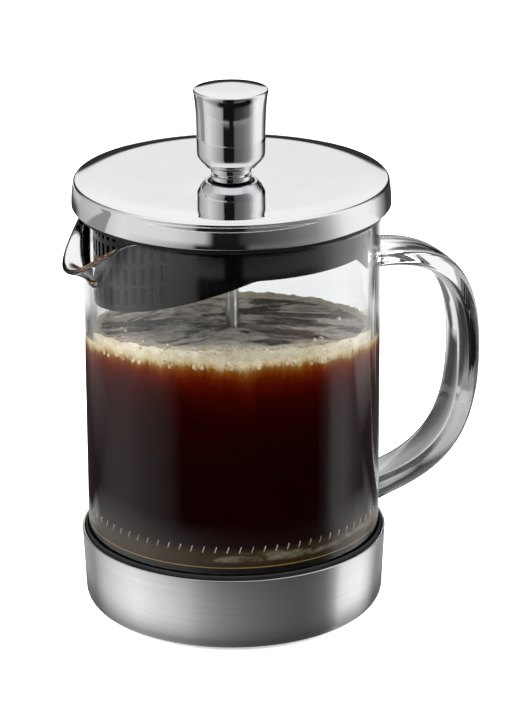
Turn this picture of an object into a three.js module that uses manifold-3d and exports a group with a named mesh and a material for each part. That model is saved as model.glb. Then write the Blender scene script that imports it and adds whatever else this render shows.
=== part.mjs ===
// A glass french press: a spouted beaker in a steel base cup, a lid with a pouring strainer,
// and a plunger with a sprung filter. Millimetres, +Z up, handle along +X, spout along -X.
// The origin is the centre of the underside of the foot pad.
import * as THREE from 'three';
import { mergeVertices } from 'three/addons/utils/BufferGeometryUtils.js';
import Module from 'manifold-3d';

const manifold = await Module();
manifold.setup();

// ---- driving dimensions ----
const GAP = 0.3;                  // clearance between pieces that rest on each other
const SLIDE_GAP = 0.08;           // radial clearance of the rod in its guide

const BEAKER_R = 44.8;            // outside radius of the glass
const GLASS_WALL = 2.4;
const GLASS_FLOOR = 2.6;
const RIM_Z = 125.6;              // height of the glass rim
const HEEL_R = 6;                 // outside corner radius of the glass floor

const PAD_T = 1.4;
const PAD_INSET = 9.6;            // from the foot of the steel cup to the edge of the pad
const BASE_H = 24;                // height of the steel base cup above the table
const BASE_LIFT = 0.5;            // the pad holds the steel this far above the table
const BASE_WALL = 0.8;
const BASE_TAPER = 1.1;           // the cup is this much smaller at its foot
const BASE_CORNER = 4.5;
const RING_WALL = 0.6;            // silicone ring between steel and glass
const RING_H = 7;
const RING_LIP = 1;               // the ring shows this far above the steel
const REST_T = 2.4;               // silicone disc under the glass
const REST_INSET = 1;             // it is this much smaller than the flat of the glass

const SPOUT_HALF_ANGLE = 38;      // degrees to each side of -X
const SPOUT_REACH = 8.4;          // how far the lip stands out of the cylinder
const SPOUT_DIP = 12.4;           // how far the lip dips below the rim
const SPOUT_DEPTH = 25.6;         // the wall is round this far below the rim

const HANDLE_W = 16.5;
const HANDLE_T = 6.8;
const HANDLE_GRIP = 31.4;         // from the glass to the centre line of the grip
const HANDLE_DROP = 18.8;         // from the rim to the upper arm
const HANDLE_RISE = 5.5;          // from the ring to the lower arm

const LID_OVERHANG = 3.2;         // the lid is this much larger than the glass
const LID_WALL = 0.9;
const LID_LIFT = 2;               // from the rim to the lower edge of the skirt
const LID_H = 7.8;                // height of the skirt
const LID_DOME = 1.3;             // rise of the lid from its edge to its centre
const LID_FILLET = 1.3;
const LID_TURN = -14;             // degrees that the lid is set round from the spout

const STRAINER_FIT = 0.7;         // radial play of the strainer in the glass
const STRAINER_WALL = 1.6;
const LINER_T = 2;
const STRAINER_DROP = 26.1;       // reach of the strainer below the rim at its deepest
const STRAINER_SLANT = 15.6;      // amplitude of the slanted lower edge
const STRAINER_SHORT = 9.4;       // reach of the plain back of the strainer
const SLOT_PITCH = 4.7;           // degrees
const SLOT_W = 1.7;
const SLOT_H = 5;
const SLOT_BAR = 1.4;
const SLOT_MARGIN = 2;
const SLOT_HALF_ANGLE = 57;

const ROD_R = 2;
const BUSH_WALL = 2.3;
const BUSH_HEAD = 1.7;            // the bush's head is this much larger than its shank
const BUSH_HEAD_H = 1.8;
const BUSH_NUT = 3.6;             // the nut is this much larger than the shank
const BUSH_NUT_H = 3.2;
const BOSS_WALL = 4.3;            // the liner's boss round the bush

const KNOB_H = 23.4;
const KNOB_R = 9.95;              // near its foot
const KNOB_FLARE = 0.8;           // extra radius at the top
const KNOB_TAPER = 0.4;
const KNOB_WALL = 1;
const KNOB_MOUTH = 3;             // the shell turns in this far under the knob
const KNOB_THREAD = 15;           // how far the rod screws into the core

const FILTER_Z = 29.2;            // underside of the filter's cross plate
const FILTER_FIT = 0.2;           // play of the spring in the glass
const SPRING_COIL_R = 1.4;        // radius of the coiled ring's section
const PLATE_T = 0.8;
const MESH_T = 0.5;
const FILTER_NUT_WALL = 4.2;
const FILTER_NUT_H = 3.4;
const COLLAR_WALL = 2.7;
const COLLAR_H = 2.2;

// ---- sizes that follow from them ----
const glassInnerR = BEAKER_R - GLASS_WALL;
const recessZ = PAD_T + GAP;
const baseFloorZ = recessZ + BASE_WALL;
const restZ = baseFloorZ + GAP;
const ringTopZ = BASE_H + RING_LIP;
const glassZ = restZ + REST_T + GAP;
const ringInnerR = BEAKER_R + GAP;
const ringOuterR = ringInnerR + RING_WALL;
const baseR = ringOuterR + GAP + BASE_WALL;
const baseFootR = baseR - BASE_TAPER;
const padR = baseFootR - PAD_INSET;
const spoutRootZ = RIM_Z - SPOUT_DEPTH;
const lidR = BEAKER_R + LID_OVERHANG;
const lidSkirtZ = RIM_Z + LID_LIFT;
const lidEdgeZ = lidSkirtZ + LID_H;
const lidTopZ = lidEdgeZ + LID_DOME;
const linerZ = RIM_Z + GAP;
const strainerR = glassInnerR - STRAINER_FIT;
const strainerInnerR = strainerR - STRAINER_WALL;
const strainerLowZ = RIM_Z - STRAINER_DROP;
const bushBoreR = ROD_R + SLIDE_GAP;
const bushR = bushBoreR + BUSH_WALL;
const bushHeadZ = lidTopZ + GAP;
const knobZ = bushHeadZ + BUSH_HEAD_H + GAP;
const knobMouthR = KNOB_R - KNOB_MOUTH;
const looseRodR = ROD_R + GAP;
const meshZ = FILTER_Z + PLATE_T + GAP;
const springPlateZ = meshZ + MESH_T + GAP;
const springR = glassInnerR - FILTER_FIT - SPRING_COIL_R;
const springPlateR = springR - SPRING_COIL_R - GAP;
const filterR = springPlateR + SPRING_COIL_R;
const filterNutZ = FILTER_Z - GAP - FILTER_NUT_H;

// ---- helpers ----
const FINE = 60;                  // segments round the glass
const BIG = 48;                   // segments round the other large pieces
const SMALL = 24;                 // segments round the small ones
const deg = THREE.MathUtils.degToRad;
const smooth = t => t * t * (3 - 2 * t);
const polar = (r, a) => new THREE.Vector2(r * Math.cos(a), r * Math.sin(a));
const clamp01 = t => Math.min(1, Math.max(0, t));

// points of an arc in the (r, z) half plane, angles in degrees from +r
function arc(r, z, radius, from, to, steps = 4) {
  return Array.from({ length: steps + 1 }, (_, i) => {
    const a = deg(from + (to - from) * i / steps);
    return [r + radius * Math.cos(a), z + radius * Math.sin(a)];
  });
}

// a turned solid: profile points [r, z] run anticlockwise, from the axis or closed
function turned(points, segments = BIG) {
  const geometry = new THREE.LatheGeometry(points.map(([r, z]) => new THREE.Vector2(r, z)), segments);
  return geometry.rotateX(Math.PI / 2);
}

const ring = points => [...points, points[0]];

function tube(innerR, outerR, z, height, segments = SMALL) {
  const top = z + height;
  return turned(ring([[innerR, z], [outerR, z], [outerR, top], [innerR, top]]), segments);
}

function toSolid(geometry) {
  const bare = geometry.index ? geometry.toNonIndexed() : geometry.clone();
  bare.deleteAttribute('normal');
  bare.deleteAttribute('uv');
  const merged = mergeVertices(bare, 1e-4);
  const index = merged.index.array;
  const kept = [];
  for (let i = 0; i < index.length; i += 3) {
    const [a, b, c] = index.slice(i, i + 3);
    if (a !== b && b !== c && c !== a) kept.push(a, b, c);
  }
  return new manifold.Manifold(new manifold.Mesh({
    numProp: 3,
    vertProperties: new Float32Array(merged.attributes.position.array),
    triVerts: new Uint32Array(kept),
  }));
}

function toGeometry(solid) {
  const mesh = solid.getMesh();
  const geometry = new THREE.BufferGeometry();
  geometry.setAttribute('position', new THREE.BufferAttribute(new Float32Array(mesh.vertProperties), 3));
  geometry.setIndex(new THREE.BufferAttribute(new Uint32Array(mesh.triVerts), 1));
  geometry.computeVertexNormals();
  return geometry;
}

const finishes = {
  polished: { color: 0xd8dadc, roughness: 0.06, metalness: 1 },
  satin: { color: 0xb9bbbd, roughness: 0.32, metalness: 1 },
  blackPlastic: { color: 0x1b1b1d, roughness: 0.5, metalness: 0 },
  silicone: { color: 0x131314, roughness: 0.7, metalness: 0 },
  glass: { color: 0xe8f0f0, roughness: 0.03, metalness: 0, transparent: true, opacity: 0.35 },
};

function piece(name, geometry, finish) {
  const mesh = new THREE.Mesh(geometry, new THREE.MeshStandardMaterial(finishes[finish]));
  mesh.name = name;
  return mesh;
}

// ---- base ----
function footPad() {
  return piece('foot_pad', turned([[0, 0], [padR, 0], [padR, PAD_T], [0, PAD_T]]), 'silicone');
}

function steelBaseCup() {
  const edge = BASE_WALL / 2;
  const innerFootR = baseFootR - BASE_WALL;
  const innerCorner = BASE_CORNER - BASE_WALL;
  return piece('steel_base_cup', turned([
    [0, recessZ], [padR + GAP, recessZ], [padR + GAP, BASE_LIFT],
    ...arc(baseFootR - BASE_CORNER, BASE_LIFT + BASE_CORNER, BASE_CORNER, -90, -8, 4),
    ...arc(baseR - edge, BASE_H - edge, edge, 0, 180, 3),
    ...arc(innerFootR - innerCorner, baseFloorZ + innerCorner, innerCorner, 0, -90, 2), [0, baseFloorZ],
  ]), 'satin');
}

// the ring thins towards its lower edge, as the steel closes in on the glass
function sealRing() {
  const thinR = ringInnerR + RING_WALL * 0.4;
  return piece('seal_ring', turned(ring([
    [ringInnerR, ringTopZ - RING_H], [thinR, ringTopZ - RING_H], [ringOuterR, BASE_H],
    [ringOuterR, ringTopZ], [ringInnerR, ringTopZ],
  ])), 'silicone');
}

function restPad() {
  const radius = BEAKER_R - HEEL_R - REST_INSET;
  return piece('rest_pad', turned([[0, restZ], [radius, restZ], [radius, restZ + REST_T], [0, restZ + REST_T]]),
    'silicone');
}

// ---- beaker ----
// moves a point of the round beaker into its spout, for points near the rim at -X
function intoSpout(x, y, z) {
  const offset = THREE.MathUtils.radToDeg(Math.atan2(y, -x));
  const rise = clamp01((z - spoutRootZ) / SPOUT_DEPTH);
  const radius = Math.hypot(x, y);
  if (Math.abs(offset) >= SPOUT_HALF_ANGLE || rise === 0 || radius < glassInnerR / 2) return [x, y, z];
  const across = (0.5 + 0.5 * Math.cos(Math.PI * offset / SPOUT_HALF_ANGLE)) ** 1.6;
  const scale = 1 + SPOUT_REACH * across * rise ** 2 / radius;
  return [x * scale, y * scale, z - SPOUT_DIP * across * smooth(rise)];
}

function glassBeaker() {
  const lip = GLASS_WALL / 2;
  const innerHeel = HEEL_R - GLASS_WALL;
  const floorZ = glassZ + GLASS_FLOOR;
  const levels = [0, 0.3, 0.52, 0.7, 0.86].map(share => spoutRootZ + share * SPOUT_DEPTH);
  const geometry = turned([
    [0, glassZ], ...arc(BEAKER_R - HEEL_R, glassZ + HEEL_R, HEEL_R, -90, 0, 4),
    ...levels.map(z => [BEAKER_R, z]),
    ...arc(BEAKER_R - lip, RIM_Z - lip, lip, 0, 180, 4),
    ...levels.map(z => [glassInnerR, z]).reverse(),
    ...arc(glassInnerR - innerHeel, floorZ + innerHeel, innerHeel, 0, -90, 3), [0, floorZ],
  ], FINE);
  const position = geometry.attributes.position;
  for (let i = 0; i < position.count; i++) {
    position.setXYZ(i, ...intoSpout(position.getX(i), position.getY(i), position.getZ(i)));
  }
  return piece('glass_beaker', geometry, 'glass');
}

function glassHandle() {
  const topZ = RIM_Z - HANDLE_DROP;
  const footZ = ringTopZ + HANDLE_RISE;
  const at = (out, up) => new THREE.Vector3(BEAKER_R + out * HANDLE_GRIP, 0, footZ + up * (topZ - footZ));
  const path = new THREE.CurvePath();
  path.add(new THREE.CubicBezierCurve3(at(-0.06, 1), at(0.68, 1), at(1, 0.9), at(1, 0.56)));
  path.add(new THREE.CubicBezierCurve3(at(1, 0.56), at(1, 0.28), at(0.84, 0.07), at(-0.06, 0)));
  const flat = HANDLE_W / 2 - HANDLE_T / 2;
  const section = new THREE.Shape();
  section.moveTo(-flat, -HANDLE_T / 2);
  section.lineTo(flat, -HANDLE_T / 2);
  section.absarc(flat, 0, HANDLE_T / 2, -Math.PI / 2, Math.PI / 2);
  section.lineTo(-flat, HANDLE_T / 2);
  section.absarc(-flat, 0, HANDLE_T / 2, Math.PI / 2, 1.5 * Math.PI);
  const bar = new THREE.ExtrudeGeometry(section, { steps: 30, extrudePath: path, curveSegments: 4 });
  const cutter = turned([[0, 0], [BEAKER_R + GAP, 0], [BEAKER_R + GAP, RIM_Z], [0, RIM_Z]], FINE);
  return piece('glass_handle', toGeometry(toSolid(bar).subtract(toSolid(cutter))), 'glass');
}

// ---- lid ----
function lidCover() {
  const topR = lidR - 0.5;        // the skirt leans in by half a millimetre
  const domeR = topR - LID_FILLET;
  const holeR = bushR + GAP;
  const halfDomeZ = lidEdgeZ + LID_DOME * 0.75;
  return piece('lid_cover', turned(ring([
    [lidR - LID_WALL, lidSkirtZ], [lidR, lidSkirtZ],
    ...arc(domeR, lidEdgeZ - LID_FILLET, LID_FILLET, 0, 90, 3),
    [domeR / 2, halfDomeZ], [holeR, lidTopZ], [holeR, lidTopZ - LID_WALL],
    [domeR / 2, halfDomeZ - LID_WALL], [domeR, lidEdgeZ - LID_WALL],
    [topR - LID_WALL, lidEdgeZ - LID_FILLET],
  ])), 'polished');
}

// height of the strainer's lower edge at an angle from its deepest side
function strainerEdgeZ(angle) {
  const slanted = strainerLowZ + STRAINER_SLANT * (1 - Math.cos(deg(angle)));
  return Math.min(slanted, RIM_Z - STRAINER_SHORT);
}

function lidLiner() {
  const flangeR = lidR - LID_WALL - 2 * GAP;
  const boreR = bushR + GAP;
  const bossR = bushR + BOSS_WALL;
  const topZ = linerZ + LINER_T;
  const bossZ = lidTopZ - LID_WALL - 2 * GAP;
  return piece('lid_liner', turned(ring([
    [boreR, linerZ], [flangeR, linerZ], [flangeR, topZ], [bossR, topZ], [bossR, bossZ], [boreR, bossZ],
  ])), 'blackPlastic');
}

// the strainer's drum before its slots are cut
function strainerDrum() {
  const topZ = linerZ - GAP;
  const geometry = tube(strainerInnerR, strainerR, strainerLowZ, topZ - strainerLowZ, BIG);
  const position = geometry.attributes.position;
  for (let i = 0; i < position.count; i++) {
    if (position.getZ(i) > strainerLowZ + GAP) continue;
    const angle = THREE.MathUtils.radToDeg(Math.atan2(position.getY(i), -position.getX(i)));
    position.setZ(i, strainerEdgeZ(angle));
  }
  return toSolid(geometry);
}

function slotsAt(angle) {
  const slots = [];
  const topZ = RIM_Z - SLOT_BAR;
  for (let z = strainerEdgeZ(angle) + SLOT_MARGIN; z < topZ - SLOT_BAR; z += SLOT_H + SLOT_BAR) {
    const height = Math.min(SLOT_H, topZ - z);
    const slot = new THREE.BoxGeometry(3 * STRAINER_WALL, SLOT_W, height);
    slot.translate(-(strainerR + strainerInnerR) / 2, 0, z + height / 2);
    slots.push(toSolid(slot.rotateZ(-deg(angle))));
  }
  return slots;
}

function strainer() {
  const columns = Math.floor(SLOT_HALF_ANGLE / SLOT_PITCH);
  let body = strainerDrum();
  for (let i = -columns; i <= columns; i++) {
    for (const slot of slotsAt(i * SLOT_PITCH)) body = body.subtract(slot);
  }
  return piece('strainer', toGeometry(body), 'blackPlastic');
}

function rodGuideBush() {
  const headR = bushR + BUSH_HEAD;
  const headTopZ = bushHeadZ + BUSH_HEAD_H;
  const footZ = linerZ - BUSH_NUT_H - 2 * GAP;
  const chamfer = 0.5;
  return piece('rod_guide_bush', turned(ring([
    [bushBoreR, footZ], [bushR, footZ], [bushR, bushHeadZ], [headR, bushHeadZ],
    [headR, headTopZ - chamfer], [headR - chamfer, headTopZ], [bushBoreR, headTopZ],
  ]), SMALL), 'polished');
}

// a six-sided nut with a round bore
function nut(name, z, height, cornerR, boreR) {
  const outline = new THREE.Shape(Array.from({ length: 6 }, (_, i) => polar(cornerR, i * Math.PI / 3)));
  outline.holes.push(new THREE.Path().absarc(0, 0, boreR, 0, 2 * Math.PI, true));
  const options = { depth: height, bevelEnabled: false, curveSegments: SMALL / 2 };
  return piece(name, new THREE.ExtrudeGeometry(outline, options).translate(0, 0, z), 'satin');
}

// ---- plunger ----
function plungerRod() {
  const topZ = knobZ + KNOB_THREAD - GAP;
  const chamfer = 0.5;
  return piece('plunger_rod', turned([
    [0, filterNutZ + GAP], [ROD_R, filterNutZ + GAP], [ROD_R, topZ - chamfer],
    [ROD_R - chamfer, topZ], [0, topZ],
  ], SMALL), 'polished');
}

// outside radius of the knob at a share of its height
function knobR(share) {
  return KNOB_R + KNOB_TAPER * share + KNOB_FLARE * share ** 6;
}

function knobShell() {
  const top = knobZ + KNOB_H;
  const dish = 0.7;               // the top is sunk by this much inside its rim
  const rimR = knobR(1);
  const rolls = [[0.09, 0.75], [0.03, 1.9]];  // share of the height, inset of the rolled foot
  const outer = [0.17, 0.4, 0.65, 0.8, 0.9, 0.97];
  const inner = outer.slice(0, 5);
  return piece('knob_shell', turned([
    [0, top - dish - KNOB_WALL], ...inner.map(s => [knobR(s) - KNOB_WALL, knobZ + s * KNOB_H]).reverse(),
    [KNOB_R - 2.4, knobZ + KNOB_WALL + GAP], [knobMouthR, knobZ + KNOB_WALL], [knobMouthR, knobZ],
    ...rolls.map(([s, inset]) => [KNOB_R - inset, knobZ + s * KNOB_H]).reverse(),
    ...outer.map(s => [knobR(s), knobZ + s * KNOB_H]),
    [rimR - 0.9, top], [rimR - 2.4, top - dish / 2], [0, top - dish],
  ], 32), 'polished');
}

function knobCore() {
  const mouthR = knobMouthR - GAP;
  const coreR = KNOB_R - KNOB_WALL - 2 * GAP;
  const shoulderZ = knobZ + KNOB_WALL + 2 * GAP;
  const topZ = knobZ + KNOB_H * 0.9 - KNOB_WALL;
  const boreZ = knobZ + KNOB_THREAD;
  return piece('knob_core', turned([
    [0, boreZ], [looseRodR, boreZ], [looseRodR, knobZ], [mouthR, knobZ], [mouthR, shoulderZ],
    [coreR, knobZ + 0.2 * KNOB_H], [coreR, topZ], [0, topZ],
  ], SMALL), 'blackPlastic');
}

function roundPlate(name, radius, z, height, openings) {
  const outline = new THREE.Shape();
  outline.absarc(0, 0, radius, 0, 2 * Math.PI);
  outline.holes.push(new THREE.Path().absarc(0, 0, looseRodR, 0, 2 * Math.PI, true), ...openings);
  const options = { depth: height, bevelEnabled: false, curveSegments: BIG / 2 };
  return piece(name, new THREE.ExtrudeGeometry(outline, options).translate(0, 0, z), 'satin');
}

// round holes in rings round the rod; each ring is [share of the radius, number of holes]
function drilledRings(radius) {
  const rings = [[0.36, 8], [0.6, 12], [0.83, 16]];
  const holeR = 2.2;
  const sides = 6;
  return rings.flatMap(([share, count]) => Array.from({ length: count }, (_, i) => {
    const centre = polar(share * radius, 2 * Math.PI * i / count);
    const rim = Array.from({ length: sides }, (_, k) => polar(holeR, -2 * Math.PI * k / sides).add(centre));
    return new THREE.Path(rim);
  }));
}

// windows between the arms of the cross plate
function windows(radius) {
  const count = 12;
  const arm = 0.14;               // half an arm's share of the pitch
  const inner = ROD_R + FILTER_NUT_WALL + 3;
  const outer = radius - 4;
  return Array.from({ length: count }, (_, i) => {
    const from = 2 * Math.PI * (i + arm) / count;
    const sweep = 2 * Math.PI * (1 - 2 * arm) / count;
    const far = [1, 0.67, 0.33, 0].map(share => polar(outer, from + share * sweep));
    const near = [0, 1].map(share => polar(inner, from + share * sweep));
    return new THREE.Path([...far, ...near]);
  });
}

function rimSpring() {
  const geometry = new THREE.TorusGeometry(springR, SPRING_COIL_R, 8, BIG);
  return piece('rim_spring', geometry.translate(0, 0, springPlateZ + SPRING_COIL_R), 'polished');
}

function rodCollar() {
  const z = springPlateZ + PLATE_T + GAP;
  return piece('rod_collar', tube(looseRodR, ROD_R + COLLAR_WALL, z, COLLAR_H), 'satin');
}

// ---- assembly ----
const base = new THREE.Group();
base.add(footPad(), steelBaseCup(), restPad(), sealRing());

const beaker = new THREE.Group();
beaker.add(glassBeaker(), glassHandle());

const lid = new THREE.Group();
lid.add(lidCover(), lidLiner(), strainer());
lid.rotation.z = deg(LID_TURN);

const hub = new THREE.Group();
const bushNutZ = linerZ - GAP - BUSH_NUT_H;
hub.add(rodGuideBush(), nut('bush_nut', bushNutZ, BUSH_NUT_H, bushR + BUSH_NUT, bushR + GAP));

const filter = new THREE.Group();
filter.add(
  rodCollar(),
  roundPlate('spring_plate', springPlateR, springPlateZ, PLATE_T, drilledRings(springPlateR)),
  rimSpring(),
  roundPlate('mesh_filter', filterR, meshZ, MESH_T, []),
  roundPlate('cross_plate', filterR, FILTER_Z, PLATE_T, windows(filterR)),
  nut('filter_nut', filterNutZ, FILTER_NUT_H, ROD_R + FILTER_NUT_WALL, looseRodR),
);

const plunger = new THREE.Group();
plunger.add(knobShell(), knobCore(), plungerRod(), filter);

const press = new THREE.Group();
press.add(base, beaker, lid, hub, plunger);

export default press;
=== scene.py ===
"""The looks of a glass french press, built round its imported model."""
import bmesh
import bpy
import math
import random
from mathutils import Matrix, Vector, noise


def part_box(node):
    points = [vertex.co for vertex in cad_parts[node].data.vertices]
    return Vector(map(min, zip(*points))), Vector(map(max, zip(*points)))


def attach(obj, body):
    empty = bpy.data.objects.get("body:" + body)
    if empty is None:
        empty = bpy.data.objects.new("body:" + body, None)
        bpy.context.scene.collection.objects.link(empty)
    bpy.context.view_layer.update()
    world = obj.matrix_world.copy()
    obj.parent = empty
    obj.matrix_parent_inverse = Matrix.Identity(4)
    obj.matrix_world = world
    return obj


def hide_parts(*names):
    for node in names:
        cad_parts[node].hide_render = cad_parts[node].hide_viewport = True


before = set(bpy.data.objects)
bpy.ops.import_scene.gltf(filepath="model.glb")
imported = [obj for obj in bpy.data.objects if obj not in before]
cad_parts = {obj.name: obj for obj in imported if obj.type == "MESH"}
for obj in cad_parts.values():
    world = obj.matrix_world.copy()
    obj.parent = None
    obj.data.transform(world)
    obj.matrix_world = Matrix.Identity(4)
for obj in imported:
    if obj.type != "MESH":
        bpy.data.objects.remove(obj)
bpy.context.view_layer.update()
random.seed(7)

MM = 0.001
TAU = 2 * math.pi
ROUND = 144                # steps round the large pieces
SMALL_ROUND = 64           # steps round the small ones


# ---- sizes in millimetres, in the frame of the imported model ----
def corners(node):
    """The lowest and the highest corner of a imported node, in millimetres."""
    return [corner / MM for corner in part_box(node)]


pad_lo, pad_hi = corners("foot_pad")
base_lo, base_hi = corners("steel_base_cup")
rest_lo, rest_hi = corners("rest_pad")
ring_lo, ring_hi = corners("seal_ring")
glass_lo, glass_hi = corners("glass_beaker")
handle_lo, handle_hi = corners("glass_handle")
lid_lo, lid_hi = corners("lid_cover")
liner_lo, liner_hi = corners("lid_liner")
strainer_lo, strainer_hi = corners("strainer")
bush_lo, bush_hi = corners("rod_guide_bush")
bush_nut_lo, bush_nut_hi = corners("bush_nut")
knob_lo, knob_hi = corners("knob_shell")
core_lo, core_hi = corners("knob_core")
rod_lo, rod_hi = corners("plunger_rod")
collar_lo, collar_hi = corners("rod_collar")
plate_lo, plate_hi = corners("spring_plate")
spring_lo, spring_hi = corners("rim_spring")
mesh_lo, mesh_hi = corners("mesh_filter")
cross_lo, cross_hi = corners("cross_plate")
nut_lo, nut_hi = corners("filter_nut")

BEAKER_R = 44.8
GLASS_WALL = 2.4
GLASS_FLOOR = 2.6
HEEL_R = 6.0
RIM_Z = glass_hi.z
INNER_R = BEAKER_R - GLASS_WALL
SPOUT_HALF_ANGLE = math.radians(38)
SPOUT_REACH = 8.9
SPOUT_DIP = 12.4
SPOUT_DEPTH = 25.6
SPOUT_BEAD = 1.8             # extra thickness of the lip, below its outer edge
SPOUT_FLARE = 6              # a high power keeps the wall round up to a sharply flared lip
SPOUT_ROOT_Z = RIM_Z - SPOUT_DEPTH
HANDLE_W = 16.5
HANDLE_T = 6.8
HANDLE_GRIP = 31.4
HANDLE_TOP_Z = RIM_Z - 18.8
HANDLE_FOOT_Z = ring_hi.z + 5.5
LID_TURN = math.radians(-14)
COFFEE_R = INNER_R + 0.1
FOAM_R = INNER_R - 0.04
COFFEE_Z = 88.3            # level at the middle of the coffee
COFFEE_SLOPE = 5.2         # it stands this much higher at the front, and as much lower at the back
VIEW_TURN = math.radians(20)        # the camera looks from this far round the spout's side
FRONT = Vector((-math.sin(VIEW_TURN), -math.cos(VIEW_TURN), 0))


# ---- shaping ----
def rounded(*corner_list, steps=5):
    """A profile in the (r, z) plane whose corners (r, z, radius) are arcs."""
    out = []
    last = len(corner_list) - 1
    for i, corner in enumerate(corner_list):
        here = Vector(corner[:2])
        radius = corner[2] if len(corner) > 2 else 0
        if not radius or i in (0, last):
            out.append(here)
            continue
        before = (Vector(corner_list[i - 1][:2]) - here).normalized()
        after = (Vector(corner_list[i + 1][:2]) - here).normalized()
        half = before.angle(after) / 2
        centre = here + (before + after).normalized() * radius / math.sin(half)
        start = here + before * radius / math.tan(half) - centre
        end = here + after * radius / math.tan(half) - centre
        sweep = math.atan2(start.x * end.y - start.y * end.x, start.dot(end))
        for k in range(steps + 1):
            out.append(centre + Matrix.Rotation(sweep * k / steps, 2) @ start)
    return out


def tidy(bm):
    bmesh.ops.remove_doubles(bm, verts=bm.verts, dist=1e-4)
    bmesh.ops.recalc_face_normals(bm, faces=bm.faces)


def turned(profile, steps=ROUND, closed=False):
    """A solid turned about the Z axis from (r, z) points, from axis to axis or closed on itself."""
    bm = bmesh.new()
    verts = [bm.verts.new((p[0], 0, p[1])) for p in profile]
    ends = verts[1:] + verts[:1] if closed else verts[1:]
    edges = [bm.edges.new(pair) for pair in zip(verts, ends)]
    bmesh.ops.spin(bm, geom=verts + edges, axis=(0, 0, 1), cent=(0, 0, 0), angle=TAU, steps=steps,
                   use_merge=True)
    tidy(bm)
    return bm


def swept(section, stations):
    """A solid made by extruding a closed section from station to station, each a matrix."""
    bm = bmesh.new()
    loop = bmesh.ops.create_circle(bm, segments=len(section), radius=1)["verts"]
    for vert, point in zip(loop, section):
        vert.co = stations[0] @ Vector(point)
    bmesh.ops.contextual_create(bm, geom=loop)
    edges = [edge for edge in bm.edges]
    for before, after in zip(stations, stations[1:]):
        grown = bmesh.ops.extrude_edge_only(bm, edges=edges)["geom"]
        loop = [item for item in grown if isinstance(item, bmesh.types.BMVert)]
        edges = [item for item in grown if isinstance(item, bmesh.types.BMEdge)]
        bmesh.ops.transform(bm, matrix=after @ before.inverted(), verts=loop)
    bmesh.ops.contextual_create(bm, geom=edges)
    tidy(bm)
    return bm


def join(target, source):
    """Adds one bmesh to another."""
    mesh = bpy.data.meshes.new("joined")
    source.to_mesh(mesh)
    source.free()
    target.from_mesh(mesh)
    bpy.data.meshes.remove(mesh)


def loose(bm, name):
    """A bmesh as an object that isn't a piece yet, still in millimetres."""
    mesh = bpy.data.meshes.new(name)
    bm.to_mesh(mesh)
    bm.free()
    obj = bpy.data.objects.new(name, mesh)
    bpy.context.scene.collection.objects.link(obj)
    return obj


def applied(obj):
    """The bmesh of an object with its modifiers; the object goes."""
    bpy.context.view_layer.update()
    graph = bpy.context.evaluated_depsgraph_get()
    mesh = bpy.data.meshes.new_from_object(obj.evaluated_get(graph))
    bm = bmesh.new()
    bm.from_mesh(mesh)
    bpy.data.meshes.remove(mesh)
    bpy.data.objects.remove(obj)
    return bm


def combined(body, cutter, operation, solver="EXACT"):
    """One bmesh cut by, or united with, another."""
    first, second = loose(body, "first"), loose(cutter, "second")
    boolean = first.modifiers.new("combine", "BOOLEAN")
    boolean.object = second
    boolean.operation = operation
    boolean.solver = solver
    bm = applied(first)
    bpy.data.objects.remove(second)
    return bm


def piece(bm, name, body, material, slot, *replaced, crease=35):
    """Makes a bmesh in millimetres a finished piece that rides on a body."""
    bmesh.ops.scale(bm, vec=(MM, MM, MM), verts=bm.verts)
    obj = loose(bm, name)
    obj.data.shade_smooth()
    obj.data.set_sharp_from_angle(angle=math.radians(crease))
    obj.data.materials.append(material)
    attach(obj, body)
    if replaced:
        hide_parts(*replaced)
    return obj


# ---- materials ----
class Finish:
    """A material under construction, with short words for its nodes."""

    def __init__(self, name):
        self.material = bpy.data.materials.new(name)
        self.material.use_nodes = True
        self.tree = self.material.node_tree
        self.shader = self.tree.nodes["Principled BSDF"]

    def add(self, kind, settings=None, **inputs):
        node = self.tree.nodes.new("ShaderNode" + kind)
        for key, value in (settings or {}).items():
            setattr(node, key, value)
        for key, value in inputs.items():
            node.inputs[key].default_value = value
        return node

    def link(self, source, target):
        self.tree.links.new(source, target)

    def set(self, **inputs):
        for key, value in inputs.items():
            self.shader.inputs[key.replace("_", " ")].default_value = value

    def drive(self, socket, source):
        self.link(source, self.shader.inputs[socket])

    def place(self, *scale):
        mapping = self.add("Mapping", Scale=scale or (1, 1, 1))
        self.link(self.add("TexCoord").outputs["Object"], mapping.inputs["Vector"])
        return mapping.outputs["Vector"]

    def noise(self, vector, scale, detail=3.0, roughness=0.5, distortion=0.0):
        node = self.add("TexNoise", Scale=scale, Detail=detail, Roughness=roughness, Distortion=distortion)
        self.link(vector, node.inputs["Vector"])
        return node.outputs["Fac"]

    def ramp(self, source, *stops):
        node = self.add("ValToRGB")
        elements = node.color_ramp.elements
        while len(elements) < len(stops):
            elements.new(0.5)
        for element, (place, colour) in zip(elements, stops):
            element.position = place
            element.color = (*colour, 1) if isinstance(colour, tuple) else (colour, colour, colour, 1)
        self.link(source, node.inputs["Fac"])
        return node.outputs["Color"]

    def math(self, operation, a, b=0.0):
        node = self.add("Math", {"operation": operation})
        for socket, value in zip(node.inputs, (a, b)):
            if isinstance(value, (int, float)):
                socket.default_value = value
            else:
                self.link(value, socket)
        return node.outputs[0]

    def mix(self, factor, a, b):
        node = self.add("Mix", {"data_type": "RGBA"})
        for socket, value in ((node.inputs[0], factor), (node.inputs[6], a), (node.inputs[7], b)):
            if isinstance(value, tuple):
                socket.default_value = (*value, 1)
            elif isinstance(value, (int, float)):
                socket.default_value = value
            else:
                self.link(value, socket)
        return node.outputs[2]

    def axis(self, vector, name):
        node = self.add("SeparateXYZ")
        self.link(vector, node.inputs[0])
        return node.outputs[name]

    def bump(self, height, strength, distance):
        node = self.add("Bump", Strength=strength, Distance=distance)
        self.link(height, node.inputs["Height"])
        self.drive("Normal", node.outputs["Normal"])


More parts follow.
